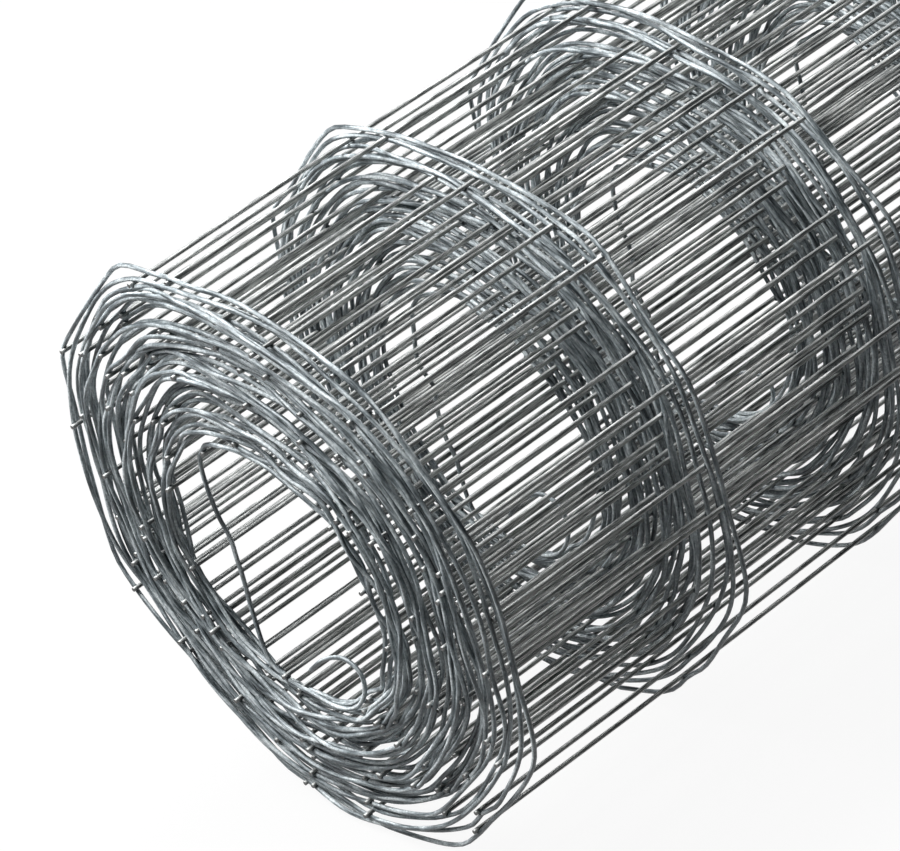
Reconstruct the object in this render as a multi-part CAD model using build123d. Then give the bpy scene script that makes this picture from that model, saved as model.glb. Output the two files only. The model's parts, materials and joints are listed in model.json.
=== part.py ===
from build123d import *
import os
from math import cos, pi, sin, sqrt, tan

# Roll of welded wire fencing, lying on its side, in millimetres.
# X runs along the roll, Z is up, and the origin is on the floor under the middle of the roll.

# The fence: line wires go round the roll, stays run its whole width on their inner side
LINE_WIRE_DIA = 2.5
STAY_DIA = 2.5
LINE_PITCH = 150.0      # between line wires, along the roll
LINE_COUNT = 9
STAY_PITCH = 150.0      # between stays, along a line wire
STAY_OVERHANG = 3.0     # stay end past the edge line wire
WELD_SINK = 0.4         # depth to which crossing wires are pressed into each other
WIRE_SIDES = 4          # a drawn wire as a bar with flats of the same width

# The roll
BORE_DIA = 156.0
TURN_BUNCHES = 9        # the packed turns lie in bunches, which stand out on the ends
BUNDLE_WIDTH = 16.0     # along the roll, of the packed turns that one line wire makes
PACKED_STAYS = 12       # stays of the packed turns, spread evenly through the wall
STAY_STEP_ANGLE = 137.5     # round the roll, from one packed stay to the next
OUTER_CELLS = 7         # mesh cells on the outermost turn, each with a stay at its middle
BEND_RADIUS = 45.0      # bend of the outermost line wire, midway between two stays

# The outermost turn is as long as its cells: a straight run at each stay and a bend between stays
half_cell_angle = pi / OUTER_CELLS
straight_run = STAY_PITCH - 2 * half_cell_angle * BEND_RADIUS
line_from_axis = BEND_RADIUS + straight_run / (2 * tan(half_cell_angle))
stay_from_axis = line_from_axis - (LINE_WIRE_DIA + STAY_DIA) / 2 + WELD_SINK

# The turns beneath lie packed between the bore and the outermost stays
bore_radius = BORE_DIA / 2
pack_radius = stay_from_axis - STAY_DIA / 2 + WELD_SINK
bunch_pitch = (pack_radius - bore_radius) / TURN_BUNCHES
edge_line = LINE_PITCH * (LINE_COUNT - 1) / 2
edge_face = edge_line + LINE_WIRE_DIA / 2
axis_height = line_from_axis + LINE_WIRE_DIA / 2
roll_axis = Pos(0, 0, axis_height)


def bundle():
    """Packed turns of one line wire as a turned ring about X."""
    corners = [(-BUNDLE_WIDTH / 2, bore_radius), (-BUNDLE_WIDTH / 2, pack_radius)]
    corners += [(BUNDLE_WIDTH / 2, pack_radius), (BUNDLE_WIDTH / 2, bore_radius)]
    return revolve(make_face(Polyline(*corners, close=True)), Axis.X)


def edge_bundle(side):
    """Packed turns of an edge line wire as a turned ring, with a ridge on the end for each bunch."""
    inner_face = side * (edge_face - BUNDLE_WIDTH)
    outline = [(inner_face, bore_radius)]
    for bunch in range(TURN_BUNCHES):
        valley_radius = bore_radius + bunch * bunch_pitch
        outline.append((side * edge_line, valley_radius))
        outline.append((side * edge_face, valley_radius + bunch_pitch / 2))
    outline.append((side * edge_line, pack_radius))
    outline.append((inner_face, pack_radius))
    return revolve(make_face(Polyline(*outline, close=True)), Axis.X)


def wire_section(diameter):
    """Wire's cross-section, with a flat towards the axis of the roll and one away from it."""
    return RegularPolygon(diameter / 2, WIRE_SIDES, major_radius=False, rotation=180 / WIRE_SIDES)


def outer_turn(from_axis):
    """Outline of the outermost turn: straight at the stays, one flat for the bend midway between them."""
    bend_radius = BEND_RADIUS + from_axis - line_from_axis
    half_run = straight_run / 2 + bend_radius * tan(half_cell_angle / 2)
    corners = []
    for cell in range(OUTER_CELLS):
        angle = -pi / 2 + 2 * cell * half_cell_angle
        for run in (-half_run, half_run):
            across = from_axis * cos(angle) - run * sin(angle)
            up = from_axis * sin(angle) + run * cos(angle)
            corners.append((0, across, up))
    return make_face(Polyline(*corners, close=True))


def outer_line_wire():
    """One line wire of the outermost turn, which goes right round the roll."""
    outside = outer_turn(line_from_axis + LINE_WIRE_DIA / 2)
    inside = outer_turn(line_from_axis - LINE_WIRE_DIA / 2)
    return extrude(outside - inside, amount=LINE_WIRE_DIA / 2, dir=(1, 0, 0), both=True)


def lowest_stay(from_axis, reach):
    """One stay below the axis, which reaches as far to both sides of the middle of the roll."""
    section_plane = Plane(origin=(0, 0, -from_axis), x_dir=(0, 1, 0), z_dir=(1, 0, 0))
    return extrude(section_plane * wire_section(STAY_DIA), amount=reach, both=True)


bundles = [edge_bundle(-1), edge_bundle(1)]
inner_bundle = bundle()
for line in range(1, LINE_COUNT - 1):
    bundles.append(Pos(line * LINE_PITCH - edge_line, 0, 0) * inner_bundle)

line_wire = outer_line_wire()
line_wires = [Pos(line * LINE_PITCH - edge_line, 0, 0) * line_wire for line in range(LINE_COUNT)]

outer_stay = lowest_stay(stay_from_axis, edge_face + STAY_OVERHANG)
stays = [Rot(cell * 360 / OUTER_CELLS, 0, 0) * outer_stay for cell in range(OUTER_CELLS)]
wall_inside = bore_radius + 2 * STAY_DIA
wall_outside = pack_radius - 2 * STAY_DIA
for stay in range(PACKED_STAYS):
    wall_share = (stay + 1 / 2) / PACKED_STAYS
    from_axis = sqrt(wall_inside**2 + wall_share * (wall_outside**2 - wall_inside**2))
    stays.append(Rot(stay * STAY_STEP_ANGLE, 0, 0) * lowest_stay(from_axis, edge_line - LINE_WIRE_DIA))

fence_roll = roll_axis * bundles[0].fuse(*bundles[1:], *line_wires, *stays)

os.makedirs("parts", exist_ok=True)
export_step(fence_roll, "parts/fence_roll.step")
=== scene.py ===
import bmesh
import bpy
import json
import numpy as np
from math import cos, pi, radians, sin, tau
from mathutils import Matrix, Vector


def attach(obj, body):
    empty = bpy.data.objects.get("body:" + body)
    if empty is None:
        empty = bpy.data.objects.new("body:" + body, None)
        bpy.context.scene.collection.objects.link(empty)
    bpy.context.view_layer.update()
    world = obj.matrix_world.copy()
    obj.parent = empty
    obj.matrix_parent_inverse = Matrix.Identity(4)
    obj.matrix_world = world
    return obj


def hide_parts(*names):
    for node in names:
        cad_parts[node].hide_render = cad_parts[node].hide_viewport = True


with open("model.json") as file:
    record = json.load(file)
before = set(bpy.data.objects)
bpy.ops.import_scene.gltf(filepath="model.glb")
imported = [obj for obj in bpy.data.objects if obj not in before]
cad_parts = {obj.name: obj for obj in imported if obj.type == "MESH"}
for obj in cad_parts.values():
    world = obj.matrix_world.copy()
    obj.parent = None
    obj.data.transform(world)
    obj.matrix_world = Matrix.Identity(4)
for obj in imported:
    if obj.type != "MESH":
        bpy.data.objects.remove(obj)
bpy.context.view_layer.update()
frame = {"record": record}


# Line wires
# Nine drawn steel wires, hot-dip galvanised, run side by side along the length of the fence.
# Each is one length, wound into the same loose spiral from a hooked tail in the bore to a free end outside.
line_wire_dia = 0.0025
line_spacing = 0.150
line_count = 9
wire_sides = 8
stay_dia = 0.0025
stay_spacing = 0.150
weld_sink = 0.0004     # depth to which crossing wires are pressed into each other
turns = 35
steps_per_turn = 130
tail_steps = 6
outer_tail = 0.060     # line wire past the last stay
axis_height = frame["record"]["mounts"][0]["pos_m"][2]
shape_rng = np.random.default_rng(354)     # picked from many for how its stays spread

# The wound fence lies in flats with bends between them: the way each flat faces, in degrees from the
# near side upwards as seen on the near end, and how far it is from the axis
outer_flats = [(4, 0.165), (40, 0.1715), (72, 0.166), (93, 0.169), (134.5, 0.175), (180, 0.162),
               (224.5, 0.149), (260.5, 0.160), (284.5, 0.1625), (316, 0.163), (339, 0.1745)]
bend_softness = 0.004
least_facing = 0.3     # keeps a flat that is seen edge on at a finite distance
bore_radius = 0.077
bore_lean = 0.0095     # distance of the bore's middle from the axis
bore_lean_way = radians(212)
spiral_start = radians(249)

step = np.arange(turns * steps_per_turn + tail_steps)
turn = step / steps_per_turn
around = spiral_start - tau * turn


def flats_radius(angle, flats, softness):
    """Distance from the axis of a ring of flats with soft bends, at each angle."""
    total = 0
    for way, distance in flats:
        facing = np.maximum(np.cos(angle - radians(way)), least_facing)
        total = total + np.exp(-distance / facing / softness)
    return -softness * np.log(total)


def wander(count, reach):
    """Smooth random values of unit spread along a wire, that change over about reach steps."""
    window = np.hanning(2 * reach + 1)
    raw = np.convolve(shape_rng.normal(size=count + 2 * reach), window, "valid")
    return raw / np.sqrt((window ** 2).sum())


outside = flats_radius(around, outer_flats, bend_softness)
bore = bore_radius + bore_lean * np.cos(around - bore_lean_way)

# Turns lie in loose bunches: the room from each place on the spiral to the next turn out changes slowly
# along it, as shares of the least room
extra_room = 0.35
bunching = 1.1
bunch_reach = 17
most_room = 3.0
loose_room = 1 + extra_room * np.exp(bunching * wander(len(step) + steps_per_turn, bunch_reach))
room = np.minimum(loose_room, most_room)
room_turn = np.arange(len(room)) / steps_per_turn
from_end = turns - room_turn

# Some gaps near the outside are wider: turns back from the free end, length in turns, and added share
wide_gaps = [(2.22, 0.12, 1.8), (2.70, 0.10, 1.0), (3.20, 0.12, 1.6), (4.24, 0.13, 1.2), (5.25, 0.13, 1.2)]
for gap_turn, gap_length, more in wide_gaps:
    room = room * (1 + more * np.exp(-((from_end - gap_turn) / gap_length) ** 2))

# The last turns have sprung open, as the free end lets them: turns to the free end, as negative numbers,
# and the room there against the mean
last_turns = 2.0
last_turns_blend = 0.2
last_places = [-2.0, -1.92, -1.81, -1.68, -1.5, -1.3, -1.1, -1.0, -0.95]
last_shares = [1.0, 1.6, 2.7, 1.7, 2.0, 3.2, 3.2, 1.8, 0.9]
settled = np.clip((last_turns - from_end) / last_turns_blend, 0, 1)
last_room = room.mean() * np.interp(-from_end, last_places, last_shares)
room = room * (1 - settled) + last_room * settled

# The turns stacked on each other fill the wall from the bore to the outside
sprung_share = 0.05
by_turn = room[:(turns + 1) * steps_per_turn].reshape(turns + 1, steps_per_turn)
stacked = np.vstack([np.zeros(steps_per_turn), np.cumsum(by_turn, axis=0)])
part_turn = np.arange(steps_per_turn) / steps_per_turn
stacked = stacked + part_turn * room[0]
whole_turn = step // steps_per_turn
turn_step = step % steps_per_turn
sprung = 1 - sprung_share * (1 - part_turn[turn_step])
filled = stacked[whole_turn, turn_step] / stacked[turns - 1, turn_step] * sprung
radius = bore + (outside - bore) * filled

# The first part of the innermost turn crosses the bore as a straight chord
chord_turns = 0.45
chord_way = radians(186.4)
chord_distance = 0.051
chord_facing = np.maximum(np.cos(around - chord_way), least_facing)
on_chord = turn < chord_turns
radius = np.where(on_chord, np.minimum(radius, chord_distance / chord_facing), radius)

# Stays sit at even lengths along the spiral, from the inner tail to the outer one
run = np.hypot(np.diff(radius * np.cos(around)), np.diff(radius * np.sin(around)))
length = np.concatenate([[0], np.cumsum(run)])
stay_count = round((length[-1] - outer_tail) / stay_spacing) + 1
stay_steps = np.searchsorted(length, np.linspace(0, length[-1] - outer_tail, stay_count))

# Where a turn has a stay on its inner side, neighbours are pushed further apart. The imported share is
# under 1, so wires of a tight bunch cut into each other, where real ones slip past each other.
packed_share = 0.66
give_steps = 1.6
wobble = 0.0005
wobble_reach = 9
settle_rounds = 500
evening_share = 0.16     # how far each round evens out a bend
return_share = 0.02      # how far each round takes a turn back to where it wants to lie
stay_near = np.exp(-((step[:, None] - stay_steps) / give_steps) ** 2).max(axis=1)
wire_room = packed_share * line_wire_dia + (stay_dia - weld_sink) * stay_near[steps_per_turn:]
wanted = radius + wobble * wander(len(step), wobble_reach)
outermost = step > (turns - 1) * steps_per_turn
wanted[outermost] = radius[outermost]
free = np.where(outermost, 0.0, 1.0)
radius = wanted.copy()
for settle_round in range(settle_rounds):
    short = np.maximum(0, wire_room - (radius[steps_per_turn:] - radius[:-steps_per_turn]))
    radius[steps_per_turn:] += 0.5 * short * free[steps_per_turn:]
    radius[:-steps_per_turn] -= 0.5 * short
    radius[1:-1] += evening_share * free[1:-1] * (radius[2:] + radius[:-2] - 2 * radius[1:-1])
    radius += return_share * free * (wanted - radius)

# Turns have also slipped sideways past each other by a few millimetres, the last ones less
slow_slip = 0.0034
slow_slip_reach = 48
quick_slip = 0.0014
quick_slip_reach = 12
most_slip = 0.006
slip_shift = 0.003
firm_turns = 1.5
slip = slow_slip * wander(len(step), slow_slip_reach) + quick_slip * wander(len(step), quick_slip_reach)
slip = most_slip * np.tanh(slip / most_slip) - slip_shift
slip = slip * np.clip((turns - turn) / firm_turns, 0, 1)

# Hooked tail of a line wire in the bore, from its cut end to the first stay, as seen on the near end.
# The tails behind it vary: turned in radians, larger as a share, and lifted along the roll.
hook_points = [(-0.0035, -0.0620), (0.0105, -0.0505), (0.0264, -0.0434), (0.0372, -0.0452),
               (0.0408, -0.0530), (0.0370, -0.0640), (0.0270, -0.0745), (0.0120, -0.0800),
               (-0.0060, -0.0785)]
hook_points_per_span = 6
hook_vary = [0.10, 0.10, 0.004]

# Each line wire differs a little from its neighbours
size_vary = 0.004
sway_size = 0.0017
sway_reach = 8
bow_size = 0.0009
bow_reach = 6


def smooth_through(points, per_span):
    """Points of a smooth curve through the given ones, not counting the last."""
    points = np.array(points)
    longer = np.vstack([2 * points[0] - points[1], points, 2 * points[-1] - points[-2]])
    curve = []
    for before, start, end, after in zip(longer[:-3], longer[1:-2], longer[2:-1], longer[3:]):
        bend = 2 * before - 5 * start + 4 * end - after
        twist = 3 * (start - end) + after - before
        for share in np.arange(per_span) / per_span:
            curve.append(start + 0.5 * share * (end - before + share * (bend + share * twist)))
    return np.array(curve)


def in_roll(along, side, up):
    """Points in the frame: along the roll, to the near side of the axis and above it."""
    up = np.maximum(up, line_wire_dia / 2 - axis_height)
    return np.stack([along, -side, up + axis_height], axis=1)


def line_wire_path(line):
    """Centre line of one line wire, hook and spiral, with what sets it a little apart from the others."""
    middle = (line - (line_count - 1) / 2) * line_spacing
    size = 1 + size_vary * shape_rng.normal()
    sway = sway_size * wander(len(step), sway_reach)
    bow = bow_size * wander(len(step), bow_reach) * (1 - stay_near)
    first_stay = (radius[0] * cos(around[0]), radius[0] * sin(around[0]))
    hook = smooth_through(hook_points + [first_stay], hook_points_per_span)
    turned, larger, lifted = shape_rng.normal(size=3) * hook_vary * min(line, 1)
    pivot = hook[-1]
    fade = np.linspace(1, 0, len(hook))[:, None]
    swing = np.array([[cos(turned), sin(turned)], [-sin(turned), cos(turned)]])
    swung = pivot + (1 + larger) * (hook - pivot) @ swing
    hook = hook + fade * (swung - hook)
    lift = lifted * fade[:, 0]
    from_axis = size * radius + bow
    side = np.concatenate([hook[:, 0], from_axis * np.cos(around)])
    up = np.concatenate([hook[:, 1], from_axis * np.sin(around)])
    along = middle + np.concatenate([lift + slip[0], slip + sway])
    return in_roll(along, side, up)


cut_end_mark = -1.0     # the cut ends are mapped to this place, which no length along a wire has


def wire_mesh(name, paths, dia, reference):
    """Round wires along the given centre lines, with cut ends, as one mesh mapped by length and girth."""
    points = []
    faces = []
    caps = []
    mapping = []
    base = 0
    corner = np.arange(wire_sides)
    next_corner = (corner + 1) % wire_sides
    round_angle = corner * tau / wire_sides
    first_share = np.cos(round_angle)[None, :, None]
    second_share = np.sin(round_angle)[None, :, None]
    girth = np.arange(wire_sides + 1) * pi * dia / wire_sides
    for path in paths:
        forward = np.gradient(path, axis=0)
        forward /= np.linalg.norm(forward, axis=1)[:, None]
        first = reference - forward * (forward @ reference)[:, None]
        first /= np.linalg.norm(first, axis=1)[:, None]
        second = np.cross(forward, first)
        ring = first_share * first[:, None] + second_share * second[:, None]
        points.append((path[:, None] + dia / 2 * ring).reshape(-1, 3))
        ring_start = base + np.arange(len(path) - 1)[:, None] * wire_sides
        here = ring_start + corner
        following = ring_start + next_corner
        quads = np.stack([here, following, following + wire_sides, here + wire_sides], axis=2)
        faces.append(quads.reshape(-1, 4))
        gone = np.concatenate([[0], np.cumsum(np.linalg.norm(np.diff(path, axis=0), axis=1))])
        start = gone[:-1, None] + 0 * girth[:-1]
        end = gone[1:, None] + 0 * girth[:-1]
        left = girth[:-1] + 0 * start
        right = girth[1:] + 0 * start
        pairs = ((start, left), (start, right), (end, right), (end, left))
        corners = np.stack([np.stack(pair, axis=2) for pair in pairs], axis=2)
        mapping.append(corners.reshape(-1, 2))
        last = base + (len(path) - 1) * wire_sides
        caps.append(list(range(base + wire_sides - 1, base - 1, -1)))
        caps.append(list(range(last, last + wire_sides)))
        base += len(path) * wire_sides
    walls = np.vstack(faces)
    mesh = bpy.data.meshes.new(name)
    mesh.from_pydata(np.vstack(points).tolist(), [], walls.tolist() + caps)
    smooth = np.concatenate([np.ones(len(walls), bool), np.zeros(len(caps), bool)])
    mesh.polygons.foreach_set("use_smooth", smooth)
    flat_ends = np.full((len(caps) * wire_sides, 2), cut_end_mark)
    layer = mesh.uv_layers.new(name="wire_length")
    layer.data.foreach_set("uv", np.vstack(mapping + [flat_ends]).astype(np.float32).ravel())
    mesh.update()
    return mesh


def linear(hex_colour):
    """sRGB hex colour as linear RGBA."""
    channels = [int(hex_colour[i:i + 2], 16) / 255 for i in (1, 3, 5)]
    return [c / 12.92 if c <= 0.04045 else ((c + 0.055) / 1.055) ** 2.4 for c in channels] + [1]


def add_node(tree, kind, settings=None, inputs=None, stops=()):
    """Adds a node with its settings, sets or links its inputs, and gives it any colour stops."""
    node = tree.nodes.new(kind)
    for name, value in (settings or {}).items():
        setattr(node, name, value)
    for name, value in (inputs or {}).items():
        if isinstance(value, bpy.types.NodeSocket):
            tree.links.new(value, node.inputs[name])
        else:
            node.inputs[name].default_value = value
    elements = node.color_ramp.elements if stops else []
    while len(elements) < len(stops):
        elements.new(1)
    for element, (position, colour) in zip(elements, stops):
        element.position = position
        element.color = linear(colour)
    return node


def new_material(name):
    """Empty node material, its tree and its shader."""
    material = bpy.data.materials.new(name)
    material.use_nodes = True
    tree = material.node_tree
    return material, tree, tree.nodes["Principled BSDF"]


# Hot-dip zinc on drawn steel wire: a dull skin hides most of the metal's mirror shine, so metallic is far
# below a bare metal's. It is blue-grey, clouded in patches two or three centimetres long where the zinc
# has run and set, with lighter crystals and a soft broad shine.
line_zinc, tree, shader = new_material("hot_dip_zinc_line_wire")
zinc_cloud_length = 0.026
zinc_cloud_width = 0.003
zinc_grain = 0.0016    # crystals are finer than this, drawn this coarse to show
wire_place = add_node(tree, "ShaderNodeUVMap", {"uv_map": "wire_length"})
stretched = add_node(tree, "ShaderNodeMapping", None, {
    "Vector": wire_place.outputs["UV"],
    "Scale": (1 / zinc_cloud_length, 1 / zinc_cloud_width, 1)})
clouds = add_node(tree, "ShaderNodeTexNoise", {"noise_dimensions": "2D"}, {
    "Vector": stretched.outputs["Vector"], "Scale": 1, "Detail": 3, "Roughness": 0.6})
body_place = add_node(tree, "ShaderNodeTexCoord")
grain = add_node(tree, "ShaderNodeTexNoise", None, {
    "Vector": body_place.outputs["Object"], "Scale": 1 / zinc_grain, "Detail": 2, "Roughness": 0.7})
zinc_tone = add_node(tree, "ShaderNodeValToRGB", None, {"Fac": clouds.outputs["Fac"]}, [
    (0.34, "#444c50"), (0.49, "#98a1a5"), (0.64, "#e4ebed")])
zinc_speck = add_node(tree, "ShaderNodeValToRGB", None, {"Fac": grain.outputs["Fac"]}, [
    (0.30, "#a4aaad"), (0.62, "#ffffff")])
zinc_colour = add_node(tree, "ShaderNodeMix", {"data_type": "RGBA", "blend_type": "MULTIPLY"}, {
    "Factor": 0.8, "A": zinc_tone.outputs["Color"], "B": zinc_speck.outputs["Color"]})
zinc_rough = add_node(tree, "ShaderNodeMapRange", None, {
    "Value": clouds.outputs["Fac"], "From Min": 0.3, "From Max": 0.7, "To Min": 0.38, "To Max": 0.56})
zinc_relief = add_node(tree, "ShaderNodeBump", None, {
    "Height": grain.outputs["Fac"], "Strength": 0.35, "Distance": 0.0002})
tree.links.new(zinc_colour.outputs["Result"], shader.inputs["Base Color"])
tree.links.new(zinc_rough.outputs["Result"], shader.inputs["Roughness"])
tree.links.new(zinc_relief.outputs["Normal"], shader.inputs["Normal"])
shader.inputs["Metallic"].default_value = 0.06


def add_piece(name, mesh, material):
    """A piece of the fence, which stands for the roll and rides with it."""
    mesh.materials.append(material)
    piece = bpy.data.objects.new(name, mesh)
    bpy.context.scene.collection.objects.link(piece)
    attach(piece, "root")
    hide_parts("fence_roll")


along_roll = np.array([1.0, 0, 0])
line_paths = [line_wire_path(line) for line in range(line_count)]
hook_length = len(line_paths[0]) - len(step)
for line, path in enumerate(line_paths):
    name = f"line_wire_{line + 1}"
    add_piece(name, wire_mesh(name, [path], line_wire_dia, along_roll), line_zinc)


# Stays
# Straight steel cross wires as long as the roll is wide, drawn, galvanised and cut, one every mesh.
# Each is spot-welded to the inner side of all the line wires, and its cut ends stand past the edge ones.
stay_overhang = 0.0019
stay_end_vary = 0.35
stay_inset = (line_wire_dia + stay_dia) / 2 - weld_sink
stay_points_per_cell = 4
across_roll = np.array([0, 0.6, 0.8])


def inward_at(at):
    """Way to the axis from a step of the spiral."""
    return np.array([0, cos(around[at]), -sin(around[at])])


def stay_path(number):
    """Centre line of one stay through its welds, from cut end to cut end."""
    at = stay_steps[number]
    welds = np.array([path[hook_length + at] for path in line_paths])
    welds = welds + stay_inset * inward_at(at)
    ends = stay_overhang * (1 + stay_end_vary * shape_rng.normal(size=2))
    first = welds[0] - [line_wire_dia / 2 + abs(ends[0]), 0, 0]
    last = welds[-1] + [line_wire_dia / 2 + abs(ends[1]), 0, 0]
    return np.vstack([first, smooth_through(welds, stay_points_per_cell), welds[-1], last])


# Galvanised wire straight from the die: a little brighter and smoother than the line wires, with fine
# lines drawn along it and dull scuffs, so that it catches the light in long streaks. The cut ends are
# sheared steel, darker than the zinc.
stay_zinc, tree, shader = new_material("drawn_galvanised_stay")
die_line_length = 0.060
die_line_width = 0.0006    # real die lines are finer, drawn this coarse to show
scuff_length = 0.030
scuff_width = 0.0024
wire_place = add_node(tree, "ShaderNodeUVMap", {"uv_map": "wire_length"})
line_place = add_node(tree, "ShaderNodeMapping", None, {
    "Vector": wire_place.outputs["UV"], "Scale": (1 / die_line_length, 1 / die_line_width, 1)})
die_lines = add_node(tree, "ShaderNodeTexNoise", {"noise_dimensions": "2D"}, {
    "Vector": line_place.outputs["Vector"], "Scale": 1, "Detail": 2})
scuff_place = add_node(tree, "ShaderNodeMapping", None, {
    "Vector": wire_place.outputs["UV"], "Scale": (1 / scuff_length, 1 / scuff_width, 1)})
scuffs = add_node(tree, "ShaderNodeTexNoise", {"noise_dimensions": "2D"}, {
    "Vector": scuff_place.outputs["Vector"], "Scale": 1, "Detail": 4, "Roughness": 0.65})
stay_tone = add_node(tree, "ShaderNodeValToRGB", None, {"Fac": scuffs.outputs["Fac"]}, [
    (0.34, "#555858"), (0.49, "#a3a6a5"), (0.64, "#e2e4e2")])
stay_rough = add_node(tree, "ShaderNodeMapRange", None, {
    "Value": scuffs.outputs["Fac"], "From Min": 0.3, "From Max": 0.7, "To Min": 0.22, "To Max": 0.38})
stay_relief = add_node(tree, "ShaderNodeBump", None, {
    "Height": die_lines.outputs["Fac"], "Strength": 0.25, "Distance": 0.0002})
place_parts = add_node(tree, "ShaderNodeSeparateXYZ", None, {"Vector": wire_place.outputs["UV"]})
on_cut = add_node(tree, "ShaderNodeMath", {"operation": "LESS_THAN"}, {
    0: place_parts.outputs["X"], 1: cut_end_mark / 2})
stay_colour = add_node(tree, "ShaderNodeMix", {"data_type": "RGBA"}, {
    "Factor": on_cut.outputs["Value"], "A": stay_tone.outputs["Color"], "B": linear("#4b4a49")})
tree.links.new(stay_colour.outputs["Result"], shader.inputs["Base Color"])
tree.links.new(stay_rough.outputs["Result"], shader.inputs["Roughness"])
tree.links.new(stay_relief.outputs["Normal"], shader.inputs["Normal"])
shader.inputs["Metallic"].default_value = 0.06

stay_paths = [stay_path(number) for number in range(stay_count)]
add_piece("stays", wire_mesh("stays", stay_paths, stay_dia, across_roll), stay_zinc)


# Spot welds
# Small lumps of squeezed-out steel where each stay was pressed and welded to a line wire.
# The zinc has melted and scorched there, and is duller and darker than on the wires.
weld_length = 0.0019
weld_depth = 0.0013
weld_size_range = (0.75, 1.1)
ball = bmesh.new()
bmesh.ops.create_icosphere(ball, subdivisions=2, radius=1)
ball.verts.ensure_lookup_table()
ball_points = np.array([vertex.co for vertex in ball.verts])
ball_faces = np.array([[vertex.index for vertex in face.verts] for face in ball.faces])
ball.free()
weld_points = []
weld_faces = []
for at in stay_steps:
    inward = inward_at(at)
    across = np.array([0, -inward[2], inward[1]])
    for path in line_paths:
        middle = path[hook_length + at] + (line_wire_dia - weld_sink) / 2 * inward
        size_shares = shape_rng.uniform(*weld_size_range, 3)
        wide, long, deep = weld_length * size_shares * [1, 1, weld_depth / weld_length]
        lump = ball_points * [wide, long, deep] @ np.array([[1, 0, 0], across, inward])
        weld_faces.append(ball_faces + len(weld_points) * len(ball_points))
        weld_points.append(middle + lump)
weld_mesh = bpy.data.meshes.new("spot_welds")
weld_mesh.from_pydata(np.vstack(weld_points).tolist(), [], np.vstack(weld_faces).tolist())
weld_mesh.polygons.foreach_set("use_smooth", np.ones(len(weld_mesh.polygons), bool))

# Zinc that has pooled and scorched at a weld: dull, darker than the wires, grainy
weld_zinc, tree, shader = new_material("scorched_zinc_weld")
weld_grain = 0.0012    # drawn coarser than the real grain, to show
body_place = add_node(tree, "ShaderNodeTexCoord")
scorch = add_node(tree, "ShaderNodeTexNoise", None, {
    "Vector": body_place.outputs["Object"], "Scale": 1 / weld_grain, "Detail": 2})
weld_tone = add_node(tree, "ShaderNodeValToRGB", None, {"Fac": scorch.outputs["Fac"]}, [
    (0.32, "#303638"), (0.55, "#565e61"), (0.75, "#7d8588")])
weld_relief = add_node(tree, "ShaderNodeBump", None, {
    "Height": scorch.outputs["Fac"], "Strength": 0.4, "Distance": 0.0002})
tree.links.new(weld_tone.outputs["Color"], shader.inputs["Base Color"])
tree.links.new(weld_relief.outputs["Normal"], shader.inputs["Normal"])
shader.inputs["Roughness"].default_value = 0.70
shader.inputs["Metallic"].default_value = 0.10
add_piece("spot_welds", weld_mesh, weld_zinc)


# Floor
# A plain white paper sweep that the roll lies on.
# It shows white to the eye and in the wires, and its dim matt part keeps the roll's soft shadow.
floor_reach = 30.0
floor_mesh = bpy.data.meshes.new("floor")
floor_mesh.from_pydata([(-floor_reach, -floor_reach, 0), (floor_reach, -floor_reach, 0),
                        (floor_reach, floor_reach, 0), (-floor_reach, floor_reach, 0)], [], [(0, 1, 2, 3)])
floor = bpy.data.objects.new("floor", floor_mesh)
bpy.context.scene.collection.objects.link(floor)
floor_white = bpy.data.materials.new("white_paper_sweep")
floor_white.use_nodes = True
tree = floor_white.node_tree
tree.nodes.clear()
paper = add_node(tree, "ShaderNodeBsdfDiffuse", None, {"Color": linear("#363636")})
glow = add_node(tree, "ShaderNodeEmission", None, {"Color": linear("#ffffff"), "Strength": 0.93})
rays = add_node(tree, "ShaderNodeLightPath")
camera_or_glossy = add_node(tree, "ShaderNodeMath", {"operation": "MAXIMUM"}, {
    0: rays.outputs["Is Camera Ray"], 1: rays.outputs["Is Glossy Ray"]})
seen_rays = add_node(tree, "ShaderNodeMath", {"operation": "MAXIMUM"}, {
    0: camera_or_glossy.outputs["Value"], 1: rays.outputs["Is Transmission Ray"]})
no_glow = add_node(tree, "ShaderNodeEmission", None, {"Strength": 0.0})
seen_glow = add_node(tree, "ShaderNodeMixShader", None, {
    "Fac": seen_rays.outputs["Value"], 1: no_glow.outputs["Emission"], 2: glow.outputs["Emission"]})
both = add_node(tree, "ShaderNodeAddShader", None, {0: paper.outputs["BSDF"], 1: seen_glow.outputs["Shader"]})
add_node(tree, "ShaderNodeOutputMaterial", None, {"Surface": both.outputs["Shader"]})
floor_mesh.materials.append(floor_white)


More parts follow.
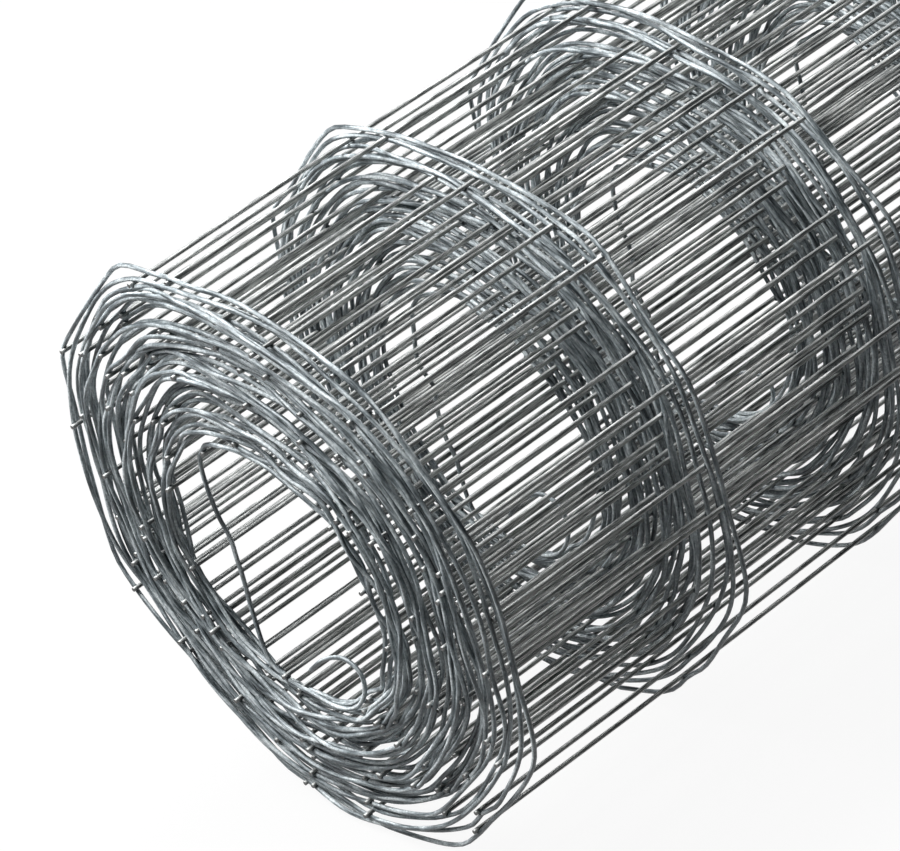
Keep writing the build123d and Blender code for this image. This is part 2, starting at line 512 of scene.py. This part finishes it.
# Light
# A long soft box overhead and behind, along the roll, and a second one high behind the near end.
# The studio round them is pale above and dim at the sides.
lamp_aim = Vector((-0.3, 0, 0.16))
soft_boxes = [("overhead_soft_box", 2.8, 1.0, 86, (-0.2, 0.95, 2.40)),
              ("left_soft_box", 1.8, 1.4, 102, (-1.5, 1.25, 2.2))]
for name, long, wide, watts, lamp_place in soft_boxes:
    box = bpy.data.lights.new(name, "AREA")
    box.shape = "RECTANGLE"
    box.size = long
    box.size_y = wide
    box.energy = watts
    box_light = bpy.data.objects.new(name, box)
    box_light.location = lamp_place
    aimed_lamp = (lamp_aim - Vector(lamp_place)).to_track_quat("-Z", "Y")
    box_light.rotation_euler = aimed_lamp.to_euler()
    bpy.context.scene.collection.objects.link(box_light)
world = bpy.data.worlds.new("pale_studio")
world.use_nodes = True
tree = world.node_tree
sky_way = add_node(tree, "ShaderNodeTexCoord")
sky_parts = add_node(tree, "ShaderNodeSeparateXYZ", None, {"Vector": sky_way.outputs["Generated"]})
sky_level = add_node(tree, "ShaderNodeMapRange", {"interpolation_type": "SMOOTHSTEP"}, {
    "Value": sky_parts.outputs["Z"], "From Min": 0.1, "From Max": 0.95, "To Min": 0.005, "To Max": 0.06})
tree.nodes["Background"].inputs["Color"].default_value = linear("#f2f6f8")
tree.links.new(sky_level.outputs["Result"], tree.nodes["Background"].inputs["Strength"])
bpy.context.scene.world = world


# Camera
# A long lens, above and in front of the near end, tilted clockwise as the picture was.
camera_azimuth = radians(-35.71)
camera_elevation = radians(30.96)
camera_tilt = radians(14.72)
camera_distance = 2.2632
camera_aim = Vector((-0.4838, 0, 0.1771))
back = Vector((sin(camera_azimuth) * cos(camera_elevation), -cos(camera_azimuth) * cos(camera_elevation),
               sin(camera_elevation)))
lens = bpy.data.cameras.new("camera")
lens.sensor_width = 36
lens.lens = 176
camera = bpy.data.objects.new("camera", lens)
aimed = (-back).to_track_quat("-Z", "Y").to_matrix() @ Matrix.Rotation(-camera_tilt, 3, "Z")
camera.matrix_world = Matrix.Translation(camera_aim + camera_distance * back) @ aimed.to_4x4()
bpy.context.scene.collection.objects.link(camera)
bpy.context.scene.camera = camera
bpy.context.scene.view_settings.view_transform = "Standard"
